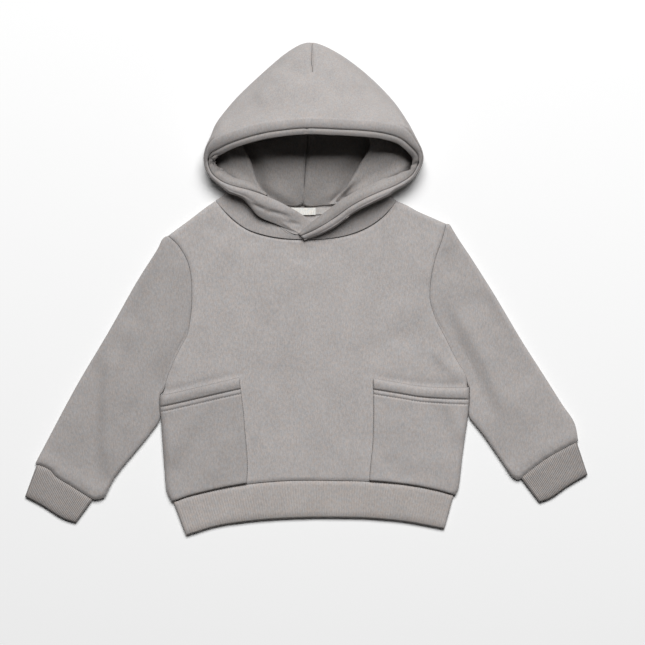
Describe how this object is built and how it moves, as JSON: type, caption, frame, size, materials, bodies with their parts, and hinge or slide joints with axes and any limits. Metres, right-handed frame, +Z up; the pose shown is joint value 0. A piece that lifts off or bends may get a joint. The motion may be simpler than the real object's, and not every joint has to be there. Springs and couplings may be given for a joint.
{
  "type": "toddler hoodie",
  "caption": "Pullover hoodie for a toddler, brushed fleece, laid flat with its lined hood open, side patch pockets, set-in sleeves and ribbed cuffs and hem.",
  "frame": {"origin": "centre of the bounding box, on the table that the laid garment rests on", "axes": "+X to the wearer's left sleeve, +Y from the hem to the hood's crown, +Z up from the table, out of the garment's front"},
  "size_m": [0.664, 0.582, 0.079],
  "materials": {
    "fleece": "matt brushed sweatshirt fleece, warm mid grey",
    "rib": "matt ribbed knit, warm mid grey",
    "lining": "matt fleece, same cloth as the outside",
    "tape": "matt woven tape",
    "label": "plain woven label, off-white"
  },
  "bodies": {
    "root": {"front_panel": "fleece", "back_panel": "fleece", "sleeve_left": "fleece", "sleeve_right": "fleece", "cuff_left": "rib", "cuff_right": "rib", "hem_rib": "rib", "pocket_left": "fleece", "pocket_right": "fleece", "hood_outer": "fleece", "hood_lining": "lining", "neck_tape": "tape", "neck_label": "label"}
  },
  "joints": []
}
